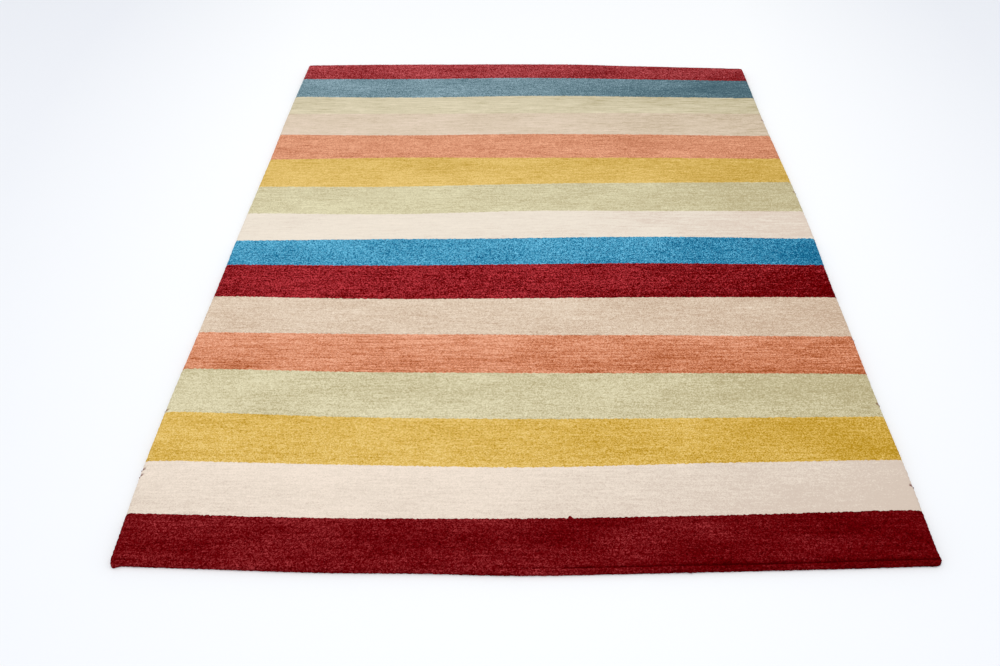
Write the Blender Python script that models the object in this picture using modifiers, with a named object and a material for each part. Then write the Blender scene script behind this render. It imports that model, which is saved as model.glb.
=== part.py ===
"""Gabbeh rug: one hand-knotted wool rug lying flat, and the wool cord overcast along each long side.

Metres, +Z up. The rug lies on z = 0 with its near end towards -Y and its length along Y.
"""

import math

import bmesh
import bpy
from mathutils import Matrix, Vector, noise

# Thickness, from the floor to the tips of the pile
THICKNESS = 0.018
# The pile rolls over each edge, and the ground's own lower edge is barely rounded
PILE_ROLL = 0.010
PILE_ROLL_STEPS = 3
GROUND_ROUND = 0.002
CORNER_RADIUS = 0.014
CORNER_STEPS = 3

# Clipped by hand, the pile stands a little higher in one place than in another
CLIP_UNEVEN = 0.0009
CLIP_PATCH = 0.28

# The selvedge cord lies on the floor under the pile's overhang
SELVEDGE_WIDTH = 0.0065
SELVEDGE_HEIGHT = 0.006
SELVEDGE_INSET = 0.0008
SELVEDGE_END_INSET = 0.006
SELVEDGE_ROUND = 0.0022
GAP = 0.0004

# Faces across the rug, rows of faces in each band, and faces along a selvedge
ACROSS_FACES = 24
ROWS_A_BAND = 2
ALONG_FACES = 48

# The weaver's straying sides. Columns: place along the rug, left edge, right edge
SIDE_ROWS = (
    (-1.20, -0.841, 0.846),
    (-0.95, -0.850, 0.849),
    (-0.70, -0.852, 0.846),
    (-0.45, -0.849, 0.847),
    (-0.20, -0.847, 0.847),
    (0.00, -0.848, 0.851),
    (0.25, -0.845, 0.849),
    (0.50, -0.843, 0.843),
    (0.75, -0.844, 0.837),
    (1.00, -0.841, 0.836),
    (1.20, -0.838, 0.835),
)
LEFT, RIGHT = 1, 2

# The two ends. Columns: place across the rug, near end, far end
END_ROWS = (
    (-0.85, -1.197, 1.213),
    (-0.64, -1.204, 1.214),
    (-0.42, -1.211, 1.213),
    (-0.21, -1.212, 1.210),
    (0.00, -1.216, 1.208),
    (0.21, -1.210, 1.200),
    (0.42, -1.203, 1.183),
    (0.64, -1.195, 1.165),
    (0.85, -1.186, 1.149),
)
NEAR, FAR = 1, 2

# Where one colour of yarn gives way to the next, from the near end on.
# Columns: the band before the line, then the line's place along the rug at ACROSS_STATIONS
ACROSS_STATIONS = (-0.79, -0.395, 0.0, 0.395, 0.79)
BAND_LINES = (
    ("dark_red", -1.071, -1.081, -1.080, -1.070, -1.054),
    ("cream", -0.916, -0.926, -0.933, -0.920, -0.908),
    ("mustard", -0.756, -0.773, -0.779, -0.775, -0.769),
    ("pale_green", -0.599, -0.612, -0.616, -0.616, -0.619),
    ("salmon", -0.454, -0.462, -0.466, -0.469, -0.474),
    ("beige", -0.298, -0.311, -0.310, -0.306, -0.308),
    ("dark_red", -0.147, -0.153, -0.149, -0.146, -0.157),
    ("blue", -0.023, -0.019, -0.016, -0.011, -0.023),
    ("cream", 0.126, 0.117, 0.133, 0.130, 0.125),
    ("pale_green", 0.284, 0.281, 0.293, 0.297, 0.296),
    ("mustard", 0.461, 0.468, 0.461, 0.458, 0.447),
    ("salmon", 0.633, 0.623, 0.627, 0.618, 0.603),
    ("beige", 0.791, 0.785, 0.783, 0.778, 0.766),
    ("khaki", 0.927, 0.914, 0.921, 0.909, 0.890),
    ("slate", 1.079, 1.072, 1.074, 1.057, 1.034),
)
LAST_BAND = "dark_red"

SELVEDGE_SIDES = {"selvedge_left": LEFT, "selvedge_right": RIGHT}

# Dyed wool, as sRGB
YARNS = {
    "dark_red": "#7c1419",
    "cream": "#e7dacb",
    "mustard": "#d9b35c",
    "pale_green": "#d0c6a1",
    "salmon": "#d68f6d",
    "beige": "#dac6ae",
    "blue": "#4392b6",
    "khaki": "#d2c9aa",
    "slate": "#6e8893",
}
WOOL_ROUGHNESS = 0.9


def linear(channel):
    """One sRGB channel, 0 to 1, as linear light."""
    if channel <= 0.04045:
        return channel / 12.92
    return ((channel + 0.055) / 1.055) ** 2.4


def wool(name, colour):
    """A dyed wool material."""
    material = bpy.data.materials.new(name)
    material.use_nodes = True
    shader = material.node_tree.nodes["Principled BSDF"]
    channels = [linear(int(colour[i : i + 2], 16) / 255) for i in (1, 3, 5)]
    shader.inputs["Base Color"].default_value = (*channels, 1)
    shader.inputs["Roughness"].default_value = WOOL_ROUGHNESS
    shader.inputs["Metallic"].default_value = 0
    return material


def smooth_read(places, values, at):
    """The value at a place, on a smooth curve through the given places."""
    last = len(places) - 1
    at = min(max(at, places[0]), places[last])
    i = max(k for k in range(last) if places[k] <= at)

    def slope(k):
        before, after = max(k - 1, 0), min(k + 1, last)
        return (values[after] - values[before]) / (places[after] - places[before])

    step = places[i + 1] - places[i]
    t = (at - places[i]) / step
    rise = values[i + 1] - values[i]
    start, end = slope(i) * step, slope(i + 1) * step
    return values[i] + t * start + t * t * (3 * rise - 2 * start - end) + t**3 * (start + end - 2 * rise)


def side_x(side, along):
    """Where the rug's left or right edge is, at a place along it."""
    return smooth_read([row[0] for row in SIDE_ROWS], [row[side] for row in SIDE_ROWS], along)


def end_y(end, across):
    """Where the rug's near or far end is, at a place across it."""
    return smooth_read([row[0] for row in END_ROWS], [row[end] for row in END_ROWS], across)


def line_y(index, across):
    """The place along the rug of a line between bands: 0 is the near end, and the last is the far end."""
    if index == 0:
        return end_y(NEAR, across)
    if index > len(BAND_LINES):
        return end_y(FAR, across)
    return smooth_read(ACROSS_STATIONS, BAND_LINES[index - 1][1:], across)


def plan_point(across_share, row):
    """The point of the rug's plan at a share of its width and a row of faces."""
    across = END_ROWS[0][0] + across_share * (END_ROWS[-1][0] - END_ROWS[0][0])
    band, part = divmod(row, ROWS_A_BAND)
    y = line_y(band, across)
    if part:
        y += (line_y(band + 1, across) - y) * part / ROWS_A_BAND
    left, right = side_x(LEFT, y), side_x(RIGHT, y)
    return left + across_share * (right - left), y


def raise_sheet(bm, height_at):
    """A flat sheet of faces made a closed body: its top copy goes up by height_at(point)."""
    raised = bmesh.ops.extrude_face_region(bm, geom=bm.faces[:])
    for part in raised["geom"]:
        if isinstance(part, bmesh.types.BMVert):
            part.co.z += height_at(part.co)
    bmesh.ops.recalc_face_normals(bm, faces=bm.faces[:])


def clipped_height(point):
    """The height of the pile's tips, as uneven as hand clipping leaves it."""
    place = Vector((point.x / CLIP_PATCH, point.y / CLIP_PATCH, 0))
    return THICKNESS + CLIP_UNEVEN * noise.noise(place)


def upright(edge):
    first, second = edge.verts
    return (first.co.xy - second.co.xy).length < 1e-6


def rim_edges(bm, top):
    """The edges where the top, or the underside, meets the sides."""
    found = []
    for edge in bm.edges:
        lifts = sorted(abs(face.normal.z) for face in edge.link_faces)
        if lifts[0] < 0.3 and lifts[-1] > 0.9 and (edge.verts[0].co.z > THICKNESS / 2) == top:
            found.append(edge)
    return found


def round_off(bm, edges, width, steps):
    """Rounds the given edges."""
    bmesh.ops.bevel(
        bm,
        geom=edges,
        offset=width,
        offset_type="OFFSET",
        segments=steps,
        profile=0.5,
        affect="EDGES",
        material=-1,
    )


def add_piece(name, bm, collection, materials):
    """A finished mesh as an object."""
    mesh = bpy.data.meshes.new(name)
    bm.to_mesh(mesh)
    bm.free()
    piece = bpy.data.objects.new(name, mesh)
    collection.objects.link(piece)
    for material in materials:
        mesh.materials.append(material)
    mesh.shade_smooth()
    mesh.set_sharp_from_angle(angle=math.radians(50))
    return piece


def make_rug(collection):
    """The knotted rug: a thin slab on its own wavering plan, one row of faces to half a band of colour."""
    bands = [row[0] for row in BAND_LINES] + [LAST_BAND]
    slots = list(YARNS)
    rows = ROWS_A_BAND * len(bands)
    bm = bmesh.new()
    bmesh.ops.create_grid(bm, x_segments=ACROSS_FACES, y_segments=rows, size=0.5)
    for face in bm.faces:
        row = int((face.calc_center_median().y + 0.5) * rows)
        face.material_index = slots.index(bands[row // ROWS_A_BAND])
    for vert in bm.verts:
        share, row = vert.co.x + 0.5, round((vert.co.y + 0.5) * rows)
        vert.co = (*plan_point(share, row), 0)
    raise_sheet(bm, clipped_height)
    corners = [edge for edge in bm.edges if upright(edge) and edge.calc_face_angle() > 1]
    round_off(bm, corners, CORNER_RADIUS, CORNER_STEPS)
    round_off(bm, rim_edges(bm, top=True), PILE_ROLL, PILE_ROLL_STEPS)
    round_off(bm, rim_edges(bm, top=False), GROUND_ROUND, 1)
    return add_piece("rug", bm, collection, [wool(name, YARNS[name]) for name in slots])


def make_bar(side, inset, width, low, high, end_inset):
    """A bar that follows a long side: the insets and the width are measured in from the rug's edges."""
    inward = 1 if side == LEFT else -1
    edge_x = side_x(side, 0)
    start = end_y(NEAR, edge_x) + end_inset
    stop = end_y(FAR, edge_x) - end_inset
    bm = bmesh.new()
    bmesh.ops.create_grid(bm, x_segments=1, y_segments=ALONG_FACES, size=0.5)
    for vert in bm.verts:
        y = start + (vert.co.y + 0.5) * (stop - start)
        x = side_x(side, y) + inward * (inset + (vert.co.x + 0.5) * width)
        vert.co = (x, y, low)
    raise_sheet(bm, lambda point: high - low)
    return bm


def make_selvedge(name, collection):
    """The cord of wool overcast along one long side, flat where it lies on the floor."""
    side = SELVEDGE_SIDES[name]
    bm = make_bar(side, SELVEDGE_INSET, SELVEDGE_WIDTH, 0, SELVEDGE_HEIGHT, SELVEDGE_END_INSET)
    piece = add_piece(name, bm, collection, [wool(name + "_yarn", YARNS["dark_red"])])
    rounding = piece.modifiers.new("Cord rounding", "BEVEL")
    rounding.width = SELVEDGE_ROUND
    rounding.segments = 2
    rounding.limit_method = "ANGLE"
    return piece


def cut_channel(rug, name, collection):
    """Takes the selvedge's channel out of the rug's lower edge, open below, outside and at both ends."""
    clear = 0.02
    width = SELVEDGE_INSET + SELVEDGE_WIDTH + GAP + clear
    bm = make_bar(SELVEDGE_SIDES[name], -clear, width, -clear, SELVEDGE_HEIGHT + GAP, -clear)
    cutter = add_piece(name + "_channel", bm, collection, [])
    cutter.hide_render = True
    cutter.display_type = "WIRE"
    cut = rug.modifiers.new(name + " channel", "BOOLEAN")
    cut.operation = "DIFFERENCE"
    cut.object = cutter
    return cutter


def centre_over_origin(rug, others):
    """Slides every mesh so that the middle of the rug's box is over the origin."""
    for axis in (0, 1):
        places = [vert.co[axis] for vert in rug.data.vertices]
        shift = Vector((0, 0, 0))
        shift[axis] = -(min(places) + max(places)) / 2
        for piece in [rug, *others]:
            piece.data.transform(Matrix.Translation(shift))


def new_collection(name):
    collection = bpy.data.collections.new(name)
    bpy.context.scene.collection.children.link(collection)
    return collection


for old in list(bpy.data.objects):
    bpy.data.objects.remove(old)
parts = new_collection("gabbeh_rug")
cutters = new_collection("cutters")
cutters.hide_render = True
knotted = make_rug(parts)
selvedges = [make_selvedge(name, parts) for name in SELVEDGE_SIDES]
channels = [cut_channel(knotted, name, cutters) for name in SELVEDGE_SIDES]
centre_over_origin(knotted, selvedges + channels)
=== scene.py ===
"""Gabbeh rug: hand-knotted wool pile in plain bands of colour, lying flat on a pale floor.

Metres, +Z up. The rug's near end is towards -Y.
"""

import math

import bmesh
import bpy
import numpy as np
from mathutils import Matrix, Vector, noise


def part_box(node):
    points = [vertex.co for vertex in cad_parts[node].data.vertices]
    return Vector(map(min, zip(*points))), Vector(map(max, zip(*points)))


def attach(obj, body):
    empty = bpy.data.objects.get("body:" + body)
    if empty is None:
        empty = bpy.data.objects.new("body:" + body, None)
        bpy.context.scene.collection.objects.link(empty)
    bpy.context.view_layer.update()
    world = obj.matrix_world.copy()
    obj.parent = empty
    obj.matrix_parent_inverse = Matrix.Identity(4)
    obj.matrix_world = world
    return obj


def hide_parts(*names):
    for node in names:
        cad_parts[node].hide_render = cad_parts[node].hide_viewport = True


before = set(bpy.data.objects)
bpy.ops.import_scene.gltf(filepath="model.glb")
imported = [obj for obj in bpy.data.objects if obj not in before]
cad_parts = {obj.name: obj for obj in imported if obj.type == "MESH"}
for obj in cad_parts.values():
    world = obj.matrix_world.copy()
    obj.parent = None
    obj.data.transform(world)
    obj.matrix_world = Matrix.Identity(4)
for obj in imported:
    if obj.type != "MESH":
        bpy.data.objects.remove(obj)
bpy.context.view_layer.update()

# Camera, floor and studio light.
# A standing person's view down the rug, on a seamless white floor under one large soft lamp
# and a pale, slightly blue surround.

EYE = Vector((0.0154, -2.4724, 1.650))
LENS_MM = 36.0
SENSOR_MM = 36.0
TILT = math.radians(51.01)  # up from straight down
TURN = math.radians(2.03)
ROLL = math.radians(-1.34)
FLOOR_SIZE = 30.0
FLOOR_CLEAR = 0.0002
FLOOR_WHITE = "#fafbf7"
# The greyer colour at the rim of the floor's painted pool of light: painted light falloff
FLOOR_PAINTED_FALLOFF = "#edefef"
# The painted pool of light on the floor: its centre, how much narrower than long it is, and where it
# starts and ends
PAINTED_POOL_CENTRE = Vector((0.0, 1.7, 0.0))
PAINTED_POOL_SHAPE = Vector((2.2, 1.0, 1.0))
PAINTED_POOL_REACH = (2.0, 4.0)
SURROUND = "#f3f5ff"
SURROUND_STRENGTH = 0.89
LAMP_PLACE = Vector((-0.25, -1.2, 6.5))
LAMP_WIDTH = 4.0
LAMP_WATTS = 140.0
LAMP_COLOUR = "#fffcf3"


def linear(colour):
    """An sRGB hex colour as linear red, green, blue and alpha."""
    channels = [int(colour[i : i + 2], 16) / 255 for i in (1, 3, 5)]
    return (*[c / 12.92 if c <= 0.04045 else ((c + 0.055) / 1.055) ** 2.4 for c in channels], 1)


def add_node(tree, kind, inputs={}, **settings):
    """Adds a node with its settings. Each input is a value, or the socket that feeds it."""
    made = tree.nodes.new(kind)
    for name, value in settings.items():
        setattr(made, name, value)
    for key, value in inputs.items():
        if isinstance(value, bpy.types.NodeSocket):
            tree.links.new(value, made.inputs[key])
        else:
            made.inputs[key].default_value = value
    return made


def new_piece(name, mesh, *materials):
    """A finished mesh as an object at the origin."""
    piece = bpy.data.objects.new(name, mesh)
    bpy.context.scene.collection.objects.link(piece)
    for material in materials:
        mesh.materials.append(material)
    return piece


lens = bpy.data.cameras.new("camera")
lens.lens = LENS_MM
lens.sensor_width = SENSOR_MM
camera = bpy.data.objects.new("camera", lens)
camera.matrix_world = (
    Matrix.Translation(EYE)
    @ Matrix.Rotation(TURN, 4, "Z")
    @ Matrix.Rotation(TILT, 4, "X")
    @ Matrix.Rotation(ROLL, 4, "Z")
)
bpy.context.scene.collection.objects.link(camera)
bpy.context.scene.camera = camera
bpy.context.scene.view_settings.view_transform = "Standard"

world = bpy.data.worlds.new("studio")
world.use_nodes = True
world.node_tree.nodes["Background"].inputs["Color"].default_value = linear(SURROUND)
world.node_tree.nodes["Background"].inputs["Strength"].default_value = SURROUND_STRENGTH
bpy.context.scene.world = world

softbox = bpy.data.lights.new("softbox", "AREA")
softbox.shape = "SQUARE"
softbox.size = LAMP_WIDTH
softbox.energy = LAMP_WATTS
softbox.color = linear(LAMP_COLOUR)[:3]
lamp = bpy.data.objects.new("softbox", softbox)
lamp.location = LAMP_PLACE
lamp.visible_camera = False
bpy.context.scene.collection.objects.link(lamp)

bm = bmesh.new()
bmesh.ops.create_grid(bm, x_segments=1, y_segments=1, size=FLOOR_SIZE / 2)
bmesh.ops.translate(bm, verts=bm.verts, vec=(0, 0, -FLOOR_CLEAR))
floor_mesh = bpy.data.meshes.new("floor")
bm.to_mesh(floor_mesh)
bm.free()

# Matt white studio floor with painted light falloff: greyer away from a painted pool of light
studio_white = bpy.data.materials.new("matt_white_floor_with_painted_light_falloff")
studio_white.use_nodes = True
tree = studio_white.node_tree
paint = tree.nodes["Principled BSDF"]
spot = add_node(tree, "ShaderNodeTexCoord").outputs["Object"]
shaped = add_node(tree, "ShaderNodeVectorMath", {0: spot, 1: PAINTED_POOL_SHAPE}, operation="MULTIPLY")
from_painted_pool = add_node(
    tree, "ShaderNodeVectorMath", {0: shaped.outputs[0], 1: PAINTED_POOL_CENTRE}, operation="DISTANCE"
)
painted_falloff = add_node(
    tree,
    "ShaderNodeMapRange",
    {"Value": from_painted_pool.outputs["Value"], "From Min": PAINTED_POOL_REACH[0], "From Max": PAINTED_POOL_REACH[1]},
)
painted = add_node(
    tree,
    "ShaderNodeMix",
    {"Factor": painted_falloff.outputs[0], 6: linear(FLOOR_WHITE), 7: linear(FLOOR_PAINTED_FALLOFF)},
    data_type="RGBA",
)
tree.links.new(painted.outputs[2], paint.inputs["Base Color"])
paint.inputs["Roughness"].default_value = 0.9
paint.inputs["Specular IOR Level"].default_value = 0.1
floor = new_piece("floor", floor_mesh, studio_white)

# The rug's plan.
# Woven by hand, its sides stray by some millimetres and its far right corner lies nearer than its
# far left one. The bands of colour follow the rows of knots, which bow a little.

# Columns: place along the rug, left edge, right edge
SIDE_ROWS = (
    (-1.20, -0.841, 0.846),
    (-0.95, -0.850, 0.849),
    (-0.70, -0.852, 0.846),
    (-0.45, -0.849, 0.847),
    (-0.20, -0.847, 0.847),
    (0.00, -0.848, 0.851),
    (0.25, -0.845, 0.849),
    (0.50, -0.843, 0.843),
    (0.75, -0.844, 0.837),
    (1.00, -0.841, 0.836),
    (1.20, -0.838, 0.835),
)
LEFT, RIGHT = 1, 2

# Columns: place across the rug, near end, far end
END_ROWS = (
    (-0.85, -1.197, 1.213),
    (-0.64, -1.204, 1.214),
    (-0.42, -1.211, 1.213),
    (-0.21, -1.212, 1.210),
    (0.00, -1.216, 1.208),
    (0.21, -1.210, 1.200),
    (0.42, -1.203, 1.183),
    (0.64, -1.195, 1.165),
    (0.85, -1.186, 1.149),
)
NEAR, FAR = 1, 2

# Where one colour of yarn gives way to the next. Columns: the place along the rug at each station
ACROSS_STATIONS = (-0.79, -0.395, 0.0, 0.395, 0.79)
BAND_LINES = (
    (-1.071, -1.081, -1.080, -1.070, -1.054),
    (-0.916, -0.926, -0.933, -0.920, -0.908),
    (-0.756, -0.773, -0.779, -0.775, -0.769),
    (-0.599, -0.612, -0.616, -0.616, -0.619),
    (-0.454, -0.462, -0.466, -0.469, -0.474),
    (-0.298, -0.311, -0.310, -0.306, -0.308),
    (-0.147, -0.153, -0.149, -0.146, -0.157),
    (-0.023, -0.019, -0.016, -0.011, -0.023),
    (0.126, 0.117, 0.133, 0.130, 0.125),
    (0.284, 0.281, 0.293, 0.297, 0.296),
    (0.461, 0.468, 0.461, 0.458, 0.447),
    (0.633, 0.623, 0.627, 0.618, 0.603),
    (0.791, 0.785, 0.783, 0.778, 0.766),
    (0.927, 0.914, 0.921, 0.909, 0.890),
    (1.079, 1.072, 1.074, 1.057, 1.034),
)
BANDS = len(BAND_LINES) + 1
WIDTH = END_ROWS[-1][0] - END_ROWS[0][0]
# At how many places the outline is read where its furthest point is sought
OUTLINE_READINGS = 400
MM = 0.001


def smooth_read(places, values, at):
    """The values at any places, on a smooth curve through a table's rows."""
    places, values = np.array(places), np.array(values)
    slopes = np.empty(len(places))
    slopes[1:-1] = (values[2:] - values[:-2]) / (places[2:] - places[:-2])
    slopes[0] = (values[1] - values[0]) / (places[1] - places[0])
    slopes[-1] = (values[-1] - values[-2]) / (places[-1] - places[-2])
    at = np.clip(at, places[0], places[-1])
    i = np.clip(np.searchsorted(places, at, side="right") - 1, 0, len(places) - 2)
    step, rise = places[i + 1] - places[i], values[i + 1] - values[i]
    t, start, end = (at - places[i]) / step, slopes[i] * step, slopes[i + 1] * step
    bend, twist = 3 * rise - 2 * start - end, start + end - 2 * rise
    return values[i] + t * start + t**2 * bend + t**3 * twist


def side_x(side, along):
    """Where the rug's left or right edge is."""
    return smooth_read([row[0] for row in SIDE_ROWS], [row[side] for row in SIDE_ROWS], along)


def end_y(end, across):
    """Where the rug's near or far end is."""
    return smooth_read([row[0] for row in END_ROWS], [row[end] for row in END_ROWS], across)


def line_y(index, across):
    """A line between bands: 0 is the near end, and the last is the far end."""
    if index == 0:
        return end_y(NEAR, across)
    if index == BANDS:
        return end_y(FAR, across)
    return smooth_read(ACROSS_STATIONS, BAND_LINES[index - 1], across)


# The tables' own middle is a little off the frame's
rug_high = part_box("rug")[1]
all_along = np.linspace(SIDE_ROWS[0][0], SIDE_ROWS[-1][0], OUTLINE_READINGS)
all_across = np.linspace(END_ROWS[0][0], END_ROWS[-1][0], OUTLINE_READINGS)
CENTRE_X = rug_high.x - side_x(RIGHT, all_along).max()
CENTRE_Y = rug_high.y - end_y(FAR, all_across).max()


# The yarns of the bands, from the near end. Hand-dyed, a colour differs from lot to lot, and the farther
# dark red bands are also partly painted lighter, as painted sheen and haze seen at a lower angle.
# Columns: slot of its finish, colour where it is darkest, as a rule and where it is lightest, and the
# one of these that few strands have. Then, as parts of that range: how much it darkens from the
# middle to the right, partly in its dye and partly as painted sheen and haze that lighten the left
# side, how much it lightens from its near line to its far one, how strongly it runs along the rows
# in streaks and in short dashes, and how strongly it differs from strand to strand
DARK, MIDDLE, LIGHT = 1, 2, 3
YARNS = (
    ("yarn_dark_red", "#3f0001", "#660206", "#ad3d3f", LIGHT, 0.12, 0.09, 0.3, 0.26, 0.63),
    ("yarn_cream", "#d1c0ae", "#e1d3c0", "#efdfcc", DARK, 0.45, 0.2, 0.6, 0.7, 0.7),
    ("yarn_mustard", "#b08719", "#d5ae51", "#eacb7e", DARK, 0.2, 0.0, 0.5, 0.65, 0.9),
    ("yarn_pale_green", "#aa9d72", "#ccc29b", "#e3dbb6", DARK, 0.17, -0.08, 0.5, 0.65, 0.9),
    ("yarn_salmon", "#99481e", "#d0845e", "#f0b291", DARK, 0.17, 0.22, 0.9, 0.65, 0.8),
    ("yarn_beige", "#ba9e84", "#d6c1a7", "#ebdac3", DARK, 0.17, 0.0, 0.5, 0.7, 0.85),
    # Lighter than the nearest dark red partly by its dye and partly by painted sheen and haze
    ("yarn_dark_red", "#4b0001", "#770407", "#c64046", LIGHT, 0.25, 0.15, 0.85, 0.6, 1.35),
    ("yarn_blue", "#004d73", "#2d89ab", "#74c4e0", MIDDLE, 0.22, 0.04, 0.3, 0.3, 1.3),
    ("yarn_cream", "#d8c6b3", "#e7dcc9", "#efe3cf", DARK, 0.3, 0.0, 0.8, 0.7, 0.35),
    ("yarn_pale_green", "#afa176", "#cec59e", "#e5deb6", DARK, 0.2, -0.06, 0.65, 0.8, 0.8),
    ("yarn_mustard", "#b69032", "#d7b460", "#efce81", DARK, 0.17, -0.12, 0.65, 0.8, 0.8),
    ("yarn_salmon", "#a96341", "#d28c69", "#f5b690", DARK, 0.05, -0.05, 0.7, 0.7, 0.85),
    ("yarn_beige", "#bdaa8c", "#d8c6ac", "#e8d4be", DARK, 0.2, -0.1, 0.9, 0.9, 0.35),
    ("yarn_khaki", "#b7ab86", "#d1c6a5", "#e4d8b8", DARK, 0.17, -0.22, 1.5, 0.9, 0.2),
    ("yarn_slate", "#39545e", "#69868c", "#a2bbc3", MIDDLE, 0.27, 0.05, 0.45, 0.5, 0.85),
    # Lighter than the nearer dark reds partly by its dye and partly by painted sheen and haze
    ("yarn_dark_red", "#590407", "#912124", "#d8696b", LIGHT, 0.1, 0.09, 0.5, 0.5, 1.2),
)
SLOT, FEW, DYE_AND_SHEEN_FALL, RUN, STREAK, DASH, STRAND = 0, 4, 5, 6, 7, 8, 9

# The woven ground, with the backs of the knots.
# Wool warps and wefts, with each knot of pile yarn tied round two warps and beaten down, so that
# the underside shows the same bands of colour. It lies on the floor, and the pile stands on it.

GROUND_TOP = 4.5 * MM
GROUND_SIDE_INSET = 7.9 * MM
GROUND_END_INSET = 6.9 * MM
GROUND_COLUMNS = 60
GROUND_ROWS_A_BAND = 6
KNOT = 3.9 * MM
KNOT_UNEVEN = 0.6
KNOT_RELIEF = 0.8 * MM
WEFT_WOOL = "#b9a88e"
# How high on its nub a knot's yarn starts to hide the weft, and where it hides it all
YARN_HIDES_WEFT = (0.01, 0.09)


def knotted_back():
    """Wool knots seen from behind: rows of small nubs with the weft's undyed wool between them."""
    material = bpy.data.materials.new("wool_knot_backs_beaten_on_weft")
    material.use_nodes = True
    tree = material.node_tree
    shader = tree.nodes["Principled BSDF"]
    place = add_node(tree, "ShaderNodeTexCoord").outputs["Object"]
    # A wave's length is 2 pi / 20 over its scale. Each knot shows two nubs side by side
    turns = 2 * math.pi / 20
    across = add_node(
        tree,
        "ShaderNodeTexWave",
        {"Vector": place, "Scale": turns / (KNOT / 2), "Distortion": KNOT_UNEVEN},
        bands_direction="X",
    )
    along = add_node(
        tree,
        "ShaderNodeTexWave",
        {"Vector": place, "Scale": turns / KNOT, "Distortion": KNOT_UNEVEN},
        bands_direction="Y",
    )
    nubs = add_node(
        tree,
        "ShaderNodeMath",
        {0: across.outputs["Fac"], 1: along.outputs["Fac"]},
        operation="MULTIPLY",
    )
    yarn = add_node(tree, "ShaderNodeAttribute", attribute_name="yarn_colour")
    cover = add_node(
        tree,
        "ShaderNodeMapRange",
        {"Value": nubs.outputs[0], "From Min": YARN_HIDES_WEFT[0], "From Max": YARN_HIDES_WEFT[1]},
    )
    shown = add_node(
        tree,
        "ShaderNodeMix",
        {"Factor": cover.outputs[0], 6: linear(WEFT_WOOL), 7: yarn.outputs["Color"]},
        data_type="RGBA",
    )
    bump = add_node(
        tree, "ShaderNodeBump", {"Height": nubs.outputs[0], "Strength": 0.7, "Distance": KNOT_RELIEF}
    )
    tree.links.new(shown.outputs[2], shader.inputs["Base Color"])
    tree.links.new(bump.outputs[0], shader.inputs["Normal"])
    shader.inputs["Roughness"].default_value = 0.95
    shader.inputs["Specular IOR Level"].default_value = 0.15
    return material


bm = bmesh.new()
ground_rows = GROUND_ROWS_A_BAND * BANDS
bmesh.ops.create_grid(bm, x_segments=GROUND_COLUMNS, y_segments=ground_rows, size=0.5)
yarn_colour = bm.loops.layers.float_color.new("yarn_colour")
for face in bm.faces:
    band = int((face.calc_center_median().y + 0.5) * BANDS)
    for loop in face.loops:
        loop[yarn_colour] = linear(YARNS[band][MIDDLE])
for vert in bm.verts:
    share = vert.co.x + 0.5
    band, part = divmod(round((vert.co.y + 0.5) * ground_rows), GROUND_ROWS_A_BAND)
    across = (share - 0.5) * WIDTH
    start = line_y(band, across) + (GROUND_END_INSET if band == 0 else 0)
    stop = line_y(min(band + 1, BANDS), across) - (GROUND_END_INSET if band >= BANDS - 1 else 0)
    y = start + (stop - start) * part / GROUND_ROWS_A_BAND if band < BANDS else stop
    left, right = side_x(LEFT, y) + GROUND_SIDE_INSET, side_x(RIGHT, y) - GROUND_SIDE_INSET
    vert.co = (left + share * (right - left) + CENTRE_X, y + CENTRE_Y, 0)
raised = bmesh.ops.extrude_face_region(bm, geom=bm.faces[:])
lifted = [part for part in raised["geom"] if isinstance(part, bmesh.types.BMVert)]
bmesh.ops.translate(bm, verts=lifted, vec=(0, 0, GROUND_TOP))
bmesh.ops.recalc_face_normals(bm, faces=bm.faces[:])
ground_mesh = bpy.data.meshes.new("ground_weave")
bm.to_mesh(ground_mesh)
bm.free()
ground = new_piece("ground_weave", ground_mesh, knotted_back())
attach(ground, "root")
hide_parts("rug")

# The pile, one piece for each band of colour.
# Hand-spun wool, knotted row by row and clipped by hand to about 13 mm above the ground. Cut ends
# stand as small tufts, and along the edges they lean out and roll over the edge.

PILE_STEP = 3.5 * MM
THICKNESS = 18.0 * MM
CLIP_UNEVEN = 0.9 * MM
CLIP_PATCH = 0.28
CORNER_RADIUS = 14.0 * MM
FAR_CORNER_RADIUS = 8.0 * MM
PILE_FOOT = 4.75 * MM

# The pile's section at a long side, over the cord. Columns: inset and height, in millimetres
SIDE_RIM = ((5.5, 6.8), (1.2, 7.0), (0.0, 9.5), (0.6, 12.5), (2.8, 15.2), (6.2, 17.0), (10.5, 17.8))
# At the near end the first rows lean out, and the pile parts behind them.
# Columns: inset, height where it is parted, height where it isn't
NEAR_RIM = (
    (2.5, 0.3, 0.3),
    (0.3, 1.0, 1.0),
    (0.0, 4.0, 4.0),
    (0.6, 8.5, 8.5),
    (3.0, 11.6, 11.8),
    (6.0, 12.6, 14.2),
    (8.4, 11.6, 15.6),
    (10.0, 10.6, 16.2),
    (11.8, 13.8, 16.8),
    (14.5, 16.8, 17.4),
    (18.0, 17.8, 17.8),
)
FAR_RIM = ((4.0, 0.4), (0.8, 1.5), (0.0, 6.0), (0.8, 10.5), (3.2, 14.2), (6.8, 16.6), (10.5, 17.8))
# The inset of the parting's bottom in that table, and how deep in shade its rows stand
PARTING_INSET = 10.0
PARTING_SHADE = (1.0, 3.0, 1.0)
# Where the parting at the near end opens and closes. Columns: place across the rug, how open
PARTING = ((-0.85, 0.3), (-0.6, 0.2), (-0.2, 0.25), (0.05, 0.5), (0.2, 0.9), (0.5, 1.0), (0.85, 1.0))
# How far that strays, in patches of so many columns of points
PARTING_UNEVEN = 0.25
PARTING_PATCH = 14

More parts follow.
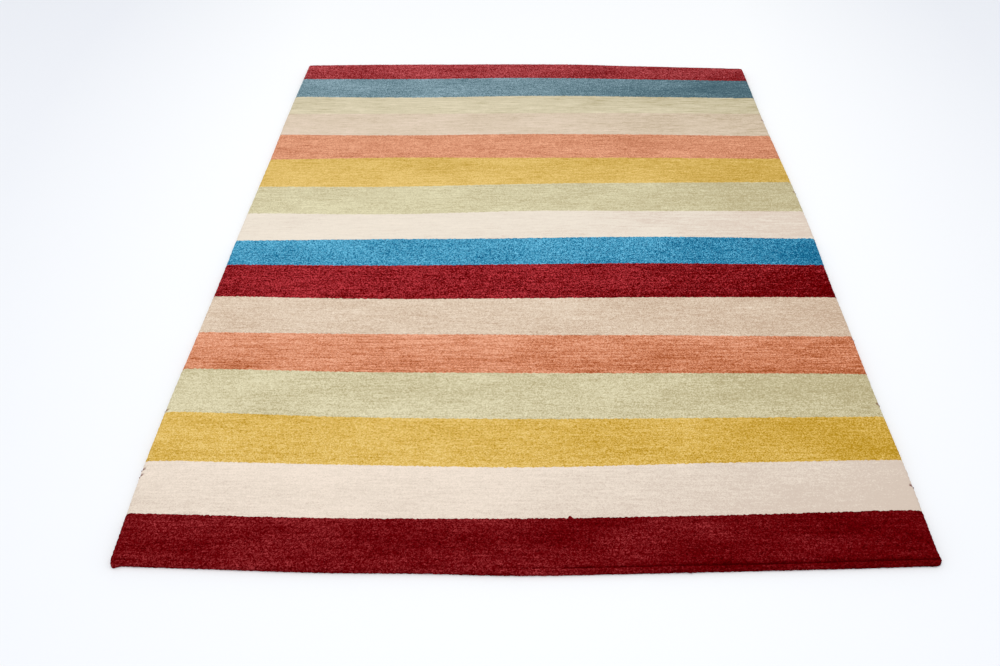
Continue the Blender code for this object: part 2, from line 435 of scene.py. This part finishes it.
# How far the rim's first ring of points stands over the cord, and where that ends
CORD_CLEAR = 6.8 * MM
CORD_INNER = (7.8 * MM, 9.5 * MM)
CORD_TIP = (4.5 * MM, 6.5 * MM)
# Where the pile's foot starts on the ground, and how far past the rims' reach it is drawn out
FOOT_SIDE_INSET = 8.5 * MM
FOOT_END_INSET = 6.5 * MM
FOOT_SIDE_SLACK = 0.7 * MM
FOOT_END_SLACK = 0.5 * MM
# The feet of neighbouring bands stand this far apart on each side, and no point comes nearer the floor
FOOT_GAP = 0.2 * MM

# Columns: side, how far past the side, how far past the near end, and over what length
CORNER_BULGES = ((LEFT, 0.0, 7.5 * MM, 14 * MM), (RIGHT, 4.5 * MM, 1.0 * MM, 18 * MM))

# Sizes of the pile's unevenness: single tufts up and sideways, clumps of tufts, and the teeth that
# knots of one colour make along the next
TUFT_RISE = 0.28 * MM
TUFT_STRAY = 0.75 * MM
CLUMP_RISE = 0.3 * MM
CLUMP_POINTS = (3, 7)
TEETH = 1.5 * MM
# The least part of that unevenness, low on the rim
LOW_UNEVEN = 0.15

# How deep in shade a point of the pile stands: as a rule, and less on a high tuft or clump
SHADE_USUAL = 0.5
SHADE_TUFT = 0.16
SHADE_CLUMP = 0.1

# Single tufts that stray, one over the first line between bands and one out of the near end.
# Columns: line between bands, rows of points past it, place across, how far along and how far up
STRAY_TUFTS = ((1, 0, 0.103, 4.5 * MM, 3.0 * MM), (0, 2, 0.343, -4.0 * MM, 0.0))
STRAY_WIDTH = 2.5 * MM
STRAY_FOLLOW = (1.0, 0.5, 0.2)

# The cords' dark red where it is darkest, as a rule and where it is lightest
CORD_RED = ("#3c0507", "#5e0d12", "#86282e")
# Turns of the cords that ride up past the pile, and show between its last knots.
# Columns: side, place along the rug
LOOSE_TURNS = (
    (LEFT, -0.961),
    (LEFT, -0.941),
    (LEFT, -0.749),
    (RIGHT, -0.984),
    (RIGHT, -0.726),
    (RIGHT, -0.484),
    (RIGHT, 0.237),
    (RIGHT, 0.719),
)
# The points of the side's rim where they show, counted from its foot
LOOSE_SHOWN = (2, 3, 4, 5)
LOOSE_FADE = 0.5

# How the dye varies, by its width across the rug, its depth along it and its detail: from lot to lot
# of yarn, in streaks along the rows and in short dashes
LOTS = (250 * MM, 90 * MM, 2)
STREAKS = (110 * MM, 6 * MM, 1)
DASHES = (24 * MM, 4 * MM, 1)
LOT_WEIGHT = 0.6
# A knot's own dye, as a part of its strands', and how much the shade between tufts darkens
KNOT_PART = 0.15
SHADE_WEIGHT = 0.25
# Where a yarn's usual colour starts to turn to the one that few strands have, and how far it is by then
TURNS_AT = {LIGHT: 0.7, DARK: 0.3}
TURNED = 0.25
# Tangles of hair. A single hair is too fine to show, so they are drawn coarser
PILE_HAIR = 1.6 * MM
PILE_RELIEF = 1.0 * MM
# How much higher a knot stands at its middle, against that hair
KNOT_CROWN = 0.5

chance = np.random.default_rng(8)


def soft_patches(shape, cells):
    """Smooth random values from -1 to 1, one patch being so many rows and columns across."""
    rows, columns = [np.arange(n) / cell for n, cell in zip(shape, cells)]
    grid = chance.uniform(-1, 1, (int(rows[-1]) + 2, int(columns[-1]) + 2))
    row, column = rows.astype(int), columns.astype(int)
    down, over = [(part - whole) for part, whole in ((rows, row), (columns, column))]
    down, over = [t * t * (3 - 2 * t) for t in (down[:, None], over[None, :])]
    near = grid[row][:, column] * (1 - over) + grid[row][:, column + 1] * over
    far = grid[row + 1][:, column] * (1 - over) + grid[row + 1][:, column + 1] * over
    return near * (1 - down) + far * down


# The columns of points across the rug: an inset from the left edge, and a share of the middle
side_rim, near_rim, far_rim = [np.array(rim) * MM for rim in (SIDE_RIM, NEAR_RIM, FAR_RIM)]
SIDE_REACH, NEAR_REACH, FAR_REACH = side_rim[-1, 0], near_rim[-1, 0], far_rim[-1, 0]
middle_columns = round((WIDTH - 2 * SIDE_REACH) / PILE_STEP)
middle_share = np.arange(1, middle_columns) / middle_columns
middle_inset = np.full(middle_columns - 1, SIDE_REACH)
inset = np.concatenate((side_rim[:, 0], middle_inset, 2 * SIDE_REACH - side_rim[::-1, 0]))
share = np.concatenate((np.zeros(len(side_rim)), middle_share, np.ones(len(side_rim))))
foot_spread = np.linspace(FOOT_SIDE_INSET, SIDE_REACH + FOOT_SIDE_SLACK, len(side_rim))
foot_inset = np.concatenate((foot_spread, middle_inset, 2 * SIDE_REACH - foot_spread[::-1]))
across = (inset + share * (WIDTH - 2 * SIDE_REACH)) - WIDTH / 2
middle_height = np.full(middle_columns - 1, THICKNESS)
side_height = np.concatenate((side_rim[:, 1], middle_height, side_rim[::-1, 1]))

# The rows of points along the rug, as places along it, and the row where each band ends
near_open = smooth_read([row[0] for row in PARTING], [row[1] for row in PARTING], across)
more_open = PARTING_UNEVEN * soft_patches((1, len(across)), (1, PARTING_PATCH))[0]
near_open = np.clip(near_open + more_open, 0, 1)
near_line, far_line = end_y(NEAR, across), end_y(FAR, across)
places = [near_line + rim_inset for rim_inset in near_rim[:, 0]]
foot_ends = np.linspace(FOOT_END_INSET, NEAR_REACH - FOOT_END_SLACK, len(near_rim))
foot_places = [near_line + foot_end for foot_end in foot_ends]
end_heights = [parted * near_open + whole * (1 - near_open) for _, parted, whole in near_rim]
band_rows = [0]
for band in range(BANDS):
    start = near_line + NEAR_REACH if band == 0 else line_y(band, across)
    stop = far_line - FAR_REACH if band == BANDS - 1 else line_y(band + 1, across)
    rows = round(float((stop - start).mean()) / PILE_STEP)
    last = rows - 1 if band == BANDS - 1 else rows
    for row in range(1, last + 1):
        places.append(start + (stop - start) * row / rows)
        foot_places.append(places[-1])
        end_heights.append(np.full(len(across), THICKNESS))
    band_rows.append(len(places) - 1)
foot_ends = np.linspace(FAR_REACH + FOOT_END_SLACK, FOOT_END_INSET, len(far_rim))
for (rim_inset, height), foot_end in zip(far_rim[::-1], foot_ends):
    places.append(far_line - rim_inset)
    foot_places.append(far_line - foot_end)
    end_heights.append(np.full(len(across), height))
band_rows[-1] = len(places) - 1
y, foot_y, end_height = np.array(places), np.array(foot_places), np.array(end_heights)
left, right = side_x(LEFT, y), side_x(RIGHT, y)
x = left + inset + share * (right - left - 2 * SIDE_REACH)
foot_x = left + foot_inset + share * (right - left - 2 * SIDE_REACH)

# Heights: the hand-clipped top, brought down at the sides and ends and kept over the cord
clipped = [
    [noise.noise(Vector((px / CLIP_PATCH, py / CLIP_PATCH, 0))) for px, py in zip(*row)]
    for row in zip(x, y)
]
top = THICKNESS + CLIP_UNEVEN * np.array(clipped)
from_side = np.minimum(x - left, right - x)
from_end = np.minimum(y - near_line, far_line - y)
over_width = np.clip((CORD_INNER[1] - from_side) / (CORD_INNER[1] - CORD_INNER[0]), 0, 1)
over_length = np.clip((from_end - CORD_TIP[0]) / (CORD_TIP[1] - CORD_TIP[0]), 0, 1)
over_cord = CORD_CLEAR * over_width * over_length
side_part = (side_height - over_cord) / (THICKNESS - over_cord)
z = over_cord + (top - over_cord) * side_part * end_height / THICKNESS

# Corners are rounded in plan: the square of points at each is drawn in to a quarter of a disc
radius = np.where(y < 0, CORNER_RADIUS, FAR_CORNER_RADIUS)
p = np.clip((radius - from_side) / radius, 0, 1)
q = np.clip((radius - from_end) / radius, 0, 1)
x = x + np.where(x < 0, 1, -1) * radius * p * (1 - np.sqrt(1 - q * q / 2))
y = y + np.where(y < 0, 1, -1) * radius * q * (1 - np.sqrt(1 - p * p / 2))

# The near corners bulge: the left one past the end and the right one past the side
for side, outward, forward, spread in CORNER_BULGES:
    from_corner = np.hypot(from_side, from_end) / spread
    bulge = np.exp(-(from_corner**2)) * ((x < 0) == (side == LEFT)) * (y < 0)
    x = x + (-1 if side == LEFT else 1) * outward * bulge
    y = y - forward * bulge

# Tufts and clumps. Points on a line between bands belong to both, so the two colours meet
tuft = np.clip(chance.normal(size=z.shape), -2, 2)
clump = soft_patches(z.shape, CLUMP_POINTS)
z += (TUFT_RISE * tuft + CLUMP_RISE * clump) * np.clip(z / THICKNESS, LOW_UNEVEN, 1)
z = np.maximum(z, FOOT_GAP)
x += TUFT_STRAY * chance.uniform(-1, 1, z.shape)
stray = np.full(len(z), TUFT_STRAY)
stray[band_rows[1:-1]] = TEETH
y += stray[:, None] * chance.uniform(-1, 1, z.shape)
for line, past, place, reach, rise in STRAY_TUFTS:
    drawn = np.exp(-(((across - place) / STRAY_WIDTH) ** 2))
    for row, follow in enumerate(STRAY_FOLLOW, band_rows[line] + past):
        y[row] += reach * follow * drawn
        z[row] += rise * follow * drawn
x, y, foot_x, foot_y = x + CENTRE_X, y + CENTRE_Y, foot_x + CENTRE_X, foot_y + CENTRE_Y

# The shade between tufts, and in the parting
shade = np.clip(SHADE_USUAL - SHADE_TUFT * tuft - SHADE_CLUMP * clump, 0, 1)
parting_row = [row[0] for row in NEAR_RIM].index(PARTING_INSET)
for row, depth in enumerate(PARTING_SHADE, parting_row - 1):
    shade[row] = np.maximum(shade[row], depth * near_open)

# Where the cord's yarn shows: on the nearest row of points, fading on the next one
cord_shows = np.zeros(z.shape)
for side, place in LOOSE_TURNS:
    shown = [column if side == LEFT else len(across) - 1 - column for column in LOOSE_SHOWN]
    row = np.abs(y[:, shown].mean(1) - CENTRE_Y - place).argmin()
    cord_shows[row, shown] = 1
    cord_shows[row + 1, shown] = LOOSE_FADE


def closed_grid(columns, rows):
    """A flat grid whose outline is carried down and closed, with the outline's edges kept sharp."""
    bm = bmesh.new()
    bmesh.ops.create_grid(bm, x_segments=columns, y_segments=rows, size=0.5)
    rim = [edge for edge in bm.edges if edge.is_boundary]
    skirt = bmesh.ops.extrude_edge_only(bm, edges=rim)["geom"]
    for vert in skirt:
        if isinstance(vert, bmesh.types.BMVert):
            vert.co.z = -1
    foot = [edge for edge in skirt if isinstance(edge, bmesh.types.BMEdge) and edge.is_boundary]
    bmesh.ops.edgeloop_fill(bm, edges=foot)
    for edge in rim + foot:
        edge.smooth = False
    bmesh.ops.recalc_face_normals(bm, faces=bm.faces[:])
    return bm


def read_numbers(elements, name, count, kind=np.float32):
    """One property of a mesh's elements, as rows of numbers."""
    values = np.empty(len(elements) * count, kind)
    elements.foreach_get(name, values)
    return values.reshape(-1, count) if count > 1 else values


# The bake map: a band is long and thin, so its top is cut in three and stacked, over strips for
# its sides and its foot
MAP_EDGE = 0.008
MAP_PARTS = 3
MAP_TOP = (0.09, 0.992)
MAP_PART_USED = 0.97
MAP_SKIRT = (0.062, 0.082)
MAP_FOOT = (0.008, 0.054)


def folded_map(mesh, column, row, low, columns, rows):
    """The piece's own map, from each point's column, its row and whether it is on the foot."""
    totals = read_numbers(mesh.polygons, "loop_total", 1, np.int32)
    corner = read_numbers(mesh.loops, "vertex_index", 1, np.int32)
    face_of = np.repeat(np.arange(len(totals)), totals)
    starts = np.concatenate(((0,), np.cumsum(totals)[:-1]))
    c, r, foot = column[corner], row[corner], low[corner]
    any_low = np.logical_or.reduceat(foot, starts)[face_of]
    all_low = np.logical_and.reduceat(foot, starts)[face_of]
    a_part = math.ceil(columns / MAP_PARTS)
    part = (np.minimum.reduceat(c, starts) // a_part)[face_of]
    height = (MAP_TOP[1] - MAP_TOP[0]) / MAP_PARTS
    span = 1 - 2 * MAP_EDGE
    u = MAP_EDGE + span * (c - part * a_part) / a_part
    v = MAP_TOP[0] + height * (part + MAP_PART_USED * r / rows)
    # Round the outline: along the near side, up the right, back along the far side and down the left
    round_it = np.where(r == 0, c, np.where(c == columns, columns + r, 2 * columns + rows - c))
    round_it = np.where((c == 0) & (r > 0), 2 * (columns + rows) - r, round_it)
    total = 2 * (columns + rows)
    first = np.minimum.reduceat(round_it, starts)[face_of]
    last = np.maximum.reduceat(round_it, starts)[face_of]
    over_start = (last - first > total / 2) & (round_it < total / 2)
    round_it = np.where(over_start, round_it + total, round_it)
    u = np.where(any_low, MAP_EDGE + span * round_it / total, u)
    v = np.where(any_low, np.where(foot, MAP_SKIRT[0], MAP_SKIRT[1]), v)
    u = np.where(all_low, MAP_EDGE + span * c / columns, u)
    v = np.where(all_low, MAP_FOOT[0] + (MAP_FOOT[1] - MAP_FOOT[0]) * r / rows, v)
    layer = mesh.uv_layers.new(name="OFBake")
    layer.data.foreach_set("uv", np.stack((u, v), 1).astype(np.float32).ravel())


def make_band(name, first_row, last_row):
    """One band's pile: a closed grid set on the rows of points from one line to the next."""
    rows, columns = last_row - first_row, len(across) - 1
    bm = closed_grid(columns, rows)
    mesh = bpy.data.meshes.new(name)
    bm.to_mesh(mesh)
    bm.free()
    flat = read_numbers(mesh.vertices, "co", 3)
    column = np.rint((flat[:, 0] + 0.5) * columns).astype(int)
    row = np.rint((flat[:, 1] + 0.5) * rows).astype(int)
    low = flat[:, 2] < -0.5
    at = (row + first_row, column)
    apart = FOOT_GAP * (np.where(row == 0, 1, 0) - np.where(row == rows, 1, 0))
    placed = np.stack(
        (
            np.where(low, foot_x[at], x[at]),
            np.where(low, foot_y[at] + apart, y[at]),
            np.where(low, PILE_FOOT, z[at]),
        ),
        1,
    )
    mesh.vertices.foreach_set("co", placed.astype(np.float32).ravel())
    depth = mesh.attributes.new("tuft_shade", "FLOAT", "POINT")
    # The foot, under the pile, gets the deepest painted shade
    depth.data.foreach_set("value", np.where(low, 1, shade[at]).astype(np.float32))
    cord = mesh.attributes.new("cord_shows", "FLOAT", "POINT")
    cord.data.foreach_set("value", np.where(low, 0, cord_shows[at]).astype(np.float32))
    run = mesh.attributes.new("part_of_band", "FLOAT", "POINT")
    run.data.foreach_set("value", (row / rows).astype(np.float32))
    folded_map(mesh, column, row, low, columns, rows)
    mesh.update()
    return mesh


def cut_pile(name, yarn):
    """Cut wool pile: matt, with a soft bloom at low angles from its loose fibre ends. Its colour
    follows the rows of knots, because one length of hand-dyed yarn ties many knots side by side."""
    material = bpy.data.materials.new(name)
    material.use_nodes = True
    tree = material.node_tree
    shader = tree.nodes["Principled BSDF"]
    place = add_node(tree, "ShaderNodeTexCoord").outputs["Object"]

    def blotches(wide, deep, detail):
        """Soft patches of dye of one size, longer along the rows of knots."""
        scale = (1 / wide, 1 / deep, 1 / deep)
        size = add_node(tree, "ShaderNodeMapping", {"Vector": place, "Scale": scale})
        return add_node(
            tree, "ShaderNodeTexNoise", {"Vector": size.outputs[0], "Scale": 1.0, "Detail": detail}
        ).outputs["Fac"]

    def weighed(total, value, weight, middle=0.5):
        """A total with a value added, by its weight and from the value's middle."""
        change = add_node(tree, "ShaderNodeMath", {0: value, 1: -middle}, operation="ADD").outputs[0]
        return add_node(
            tree, "ShaderNodeMath", {0: change, 1: weight, 2: total}, operation="MULTIPLY_ADD"
        ).outputs[0]

    def dye(scale):
        """How far each spot is from the middle of its knot or cut end, and the dye that this one took."""
        cells = add_node(tree, "ShaderNodeTexVoronoi", {"Vector": place, "Scale": scale})
        drawn = add_node(tree, "ShaderNodeSeparateColor", {"Color": cells.outputs["Color"]})
        return cells.outputs["Distance"], drawn.outputs[0]

    def point_value(name):
        """A value that the mesh keeps at its points."""
        return add_node(tree, "ShaderNodeAttribute", attribute_name=name).outputs["Fac"]

    # Each knot shows two cut ends
    knot_centre, knot_dye = dye(1 / KNOT)
    end_dye = dye(2 / KNOT)[1]
    # The fall, partly dye and partly painted sheen and haze that lighten the left, is slow at first
    # and faster towards the right edge
    across = add_node(tree, "ShaderNodeSeparateXYZ", {"Vector": place}).outputs["X"]
    dye_and_sheen_fall = add_node(
        tree, "ShaderNodeMath", {0: across, 1: across, 2: across}, operation="MULTIPLY_ADD"
    ).outputs[0]
    tone = weighed(0.5, dye_and_sheen_fall, -yarn[DYE_AND_SHEEN_FALL], 0)
    tone = weighed(tone, point_value("part_of_band"), yarn[RUN])
    tone = weighed(tone, blotches(*LOTS), LOT_WEIGHT)
    tone = weighed(tone, blotches(*STREAKS), yarn[STREAK])
    tone = weighed(tone, blotches(*DASHES), yarn[DASH])
    tone = weighed(tone, knot_dye, KNOT_PART * yarn[STRAND])
    tone = weighed(tone, end_dye, yarn[STRAND])
    # Painted shade darkens the colour between tufts, in the parting and on the foot
    tone = weighed(tone, point_value("tuft_shade"), -SHADE_WEIGHT)
    ramp = add_node(tree, "ShaderNodeValToRGB", {"Fac": tone})
    colours = ramp.color_ramp.elements
    colours[0].position, colours[0].color = 0.0, linear(yarn[DARK])
    colours[1].position, colours[1].color = 1.0, linear(yarn[LIGHT])
    colours.new(0.5).color = linear(yarn[MIDDLE])
    if yarn[FEW] != MIDDLE:
        usual, rare = np.array(linear(yarn[MIDDLE])), np.array(linear(yarn[yarn[FEW]]))
        colours.new(TURNS_AT[yarn[FEW]]).color = usual + TURNED * (rare - usual)
    shown = add_node(
        tree,
        "ShaderNodeMix",
        {"Factor": point_value("cord_shows"), 6: ramp.outputs[0], 7: linear(CORD_RED[1])},
        data_type="RGBA",
    )
    hair = add_node(tree, "ShaderNodeTexNoise", {"Vector": place, "Scale": 1 / PILE_HAIR, "Detail": 2})
    relief = weighed(hair.outputs["Fac"], knot_centre, -KNOT_CROWN)
    bump = add_node(
        tree, "ShaderNodeBump", {"Height": relief, "Strength": 0.5, "Distance": PILE_RELIEF}
    )
    tree.links.new(shown.outputs[2], shader.inputs["Base Color"])
    tree.links.new(bump.outputs[0], shader.inputs["Normal"])
    shader.inputs["Roughness"].default_value = 0.95
    shader.inputs["Specular IOR Level"].default_value = 0.0
    shader.inputs["Sheen Weight"].default_value = 0.1
    shader.inputs["Sheen Roughness"].default_value = 0.5
    shader.inputs["Sheen Tint"].default_value = linear(yarn[MIDDLE])
    return material


for band, yarn in enumerate(YARNS):
    name = f"pile_{band + 1:02d}_{yarn[SLOT].removeprefix('yarn_')}"
    mesh = make_band(name, band_rows[band], band_rows[band + 1])
    piece = new_piece(name, mesh, cut_pile("cut_wool_pile_" + name[5:], yarn))
    mesh.shade_smooth()
    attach(piece, "root")
    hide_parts("rug")

# The overcast cords along the long sides.
# Thick dark red wool wound round the outermost warps, turn beside turn, to guard the edge. They lie
# on the floor under the pile's overhang, and here and there a loose turn shows past it.

CORD_WIDTH = 6.5 * MM
CORD_HEIGHT = 6.0 * MM
CORD_INSET = 0.8 * MM
TURN_PITCH = 3.0 * MM
RINGS_A_TURN = 4
CORD_SIDES = 10
# Below 1, the power that makes the cord's section squarer than round
CORD_SQUARENESS = 0.7
TIP_BLUNTNESS = 0.04
TURN_RELIEF = 0.45 * MM
CORD_SIDE = {"selvedge_left": LEFT, "selvedge_right": RIGHT}
CORD_END_INSET = 7.0 * MM
CORD_HAIR = 1.2 * MM
CORD_HAIR_RELIEF = 0.5 * MM
# How near each other the tube's two edges lie where they are joined
SEAM_REACH = 0.02 * MM
# How far a loose turn stands out and up, and over what length
LOOSE_OUT = 3.0 * MM
LOOSE_UP = 10.0 * MM
LOOSE_LENGTH = 3.2 * MM


def make_cord(name):
    """A closed tube of wound turns, squarish in section and flat where it lies on the floor."""
    side = CORD_SIDE[name]
    outward = -1 if side == LEFT else 1
    edge = side_x(side, 0)
    start, stop = end_y(NEAR, edge) + CORD_END_INSET, end_y(FAR, edge) - CORD_END_INSET
    rings = round((stop - start) / TURN_PITCH * RINGS_A_TURN)
    bm = bmesh.new()
    bmesh.ops.create_grid(bm, x_segments=CORD_SIDES, y_segments=rings, size=0.5)
    mesh = bpy.data.meshes.new(name)
    bm.to_mesh(mesh)
    bm.free()
    flat = read_numbers(mesh.vertices, "co", 3) + 0.5
    along, turn = start + flat[:, 1] * (stop - start), 2 * math.pi * flat[:, 0]
    wound = np.abs(np.sin(math.pi * (along / TURN_PITCH - flat[:, 0])))
    swell = TURN_RELIEF * (wound - 1)
    # Both ends draw in to a blunt tip
    from_tip = np.minimum(along - start, stop - along)
    tip = 1 - (1 - np.clip(from_tip / (CORD_HEIGHT / 2), 0, 1)) ** 2
    tip = np.sqrt(np.clip(tip, TIP_BLUNTNESS, 1))
    cosine, sine = np.cos(turn), np.sin(turn)
    across = (CORD_WIDTH / 2 + swell) * tip * np.sign(cosine) * np.abs(cosine) ** CORD_SQUARENESS
    up = (CORD_HEIGHT / 2 + swell) * tip * np.sign(sine) * np.abs(sine) ** CORD_SQUARENESS
    loose_here = [place for of_side, place in LOOSE_TURNS if of_side == side]
    loose = sum(np.exp(-(((along - place) / LOOSE_LENGTH) ** 2)) for place in loose_here)
    loose = loose * np.clip(across * outward / (CORD_WIDTH / 2), 0, 1) ** 2
    across, up = across + outward * LOOSE_OUT * loose, up + LOOSE_UP * loose
    middle = side_x(side, along) - outward * (CORD_INSET + CORD_WIDTH / 2) + CENTRE_X
    placed = np.stack((middle + across, along + CENTRE_Y, np.maximum(CORD_HEIGHT / 2 + up, 0)), 1)
    mesh.vertices.foreach_set("co", placed.astype(np.float32).ravel())
    bm = bmesh.new()
    bm.from_mesh(mesh)
    bmesh.ops.remove_doubles(bm, verts=bm.verts[:], dist=SEAM_REACH)
    bmesh.ops.holes_fill(bm, edges=[edge for edge in bm.edges if edge.is_boundary], sides=0)
    bmesh.ops.recalc_face_normals(bm, faces=bm.faces[:])
    bm.to_mesh(mesh)
    bm.free()
    mesh.shade_smooth()
    return mesh


def wound_yarn(name):
    """Thick two-ply wool wound as a cord: matt, dark red and a little patchy, with hairy turns."""
    material = bpy.data.materials.new(name)
    material.use_nodes = True
    tree = material.node_tree
    shader = tree.nodes["Principled BSDF"]
    place = add_node(tree, "ShaderNodeTexCoord").outputs["Object"]
    hair = add_node(tree, "ShaderNodeTexNoise", {"Vector": place, "Scale": 1 / CORD_HAIR, "Detail": 2})
    ramp = add_node(tree, "ShaderNodeValToRGB", {"Fac": hair.outputs["Fac"]})
    colours = ramp.color_ramp.elements
    colours[0].position, colours[0].color = 0.25, linear(CORD_RED[0])
    colours[1].position, colours[1].color = 0.75, linear(CORD_RED[2])
    colours.new(0.5).color = linear(CORD_RED[1])
    bump = add_node(
        tree,
        "ShaderNodeBump",
        {"Height": hair.outputs["Fac"], "Strength": 0.4, "Distance": CORD_HAIR_RELIEF},
    )
    tree.links.new(ramp.outputs[0], shader.inputs["Base Color"])
    tree.links.new(bump.outputs[0], shader.inputs["Normal"])
    shader.inputs["Roughness"].default_value = 0.92
    shader.inputs["Specular IOR Level"].default_value = 0.15
    shader.inputs["Sheen Weight"].default_value = 0.2
    return material


cord_yarn = wound_yarn("dark_red_wool_wound_as_cord")
for node in CORD_SIDE:
    piece = new_piece(node.replace("selvedge", "selvedge_cord"), make_cord(node), cord_yarn)
    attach(piece, "root")
    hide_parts(node)
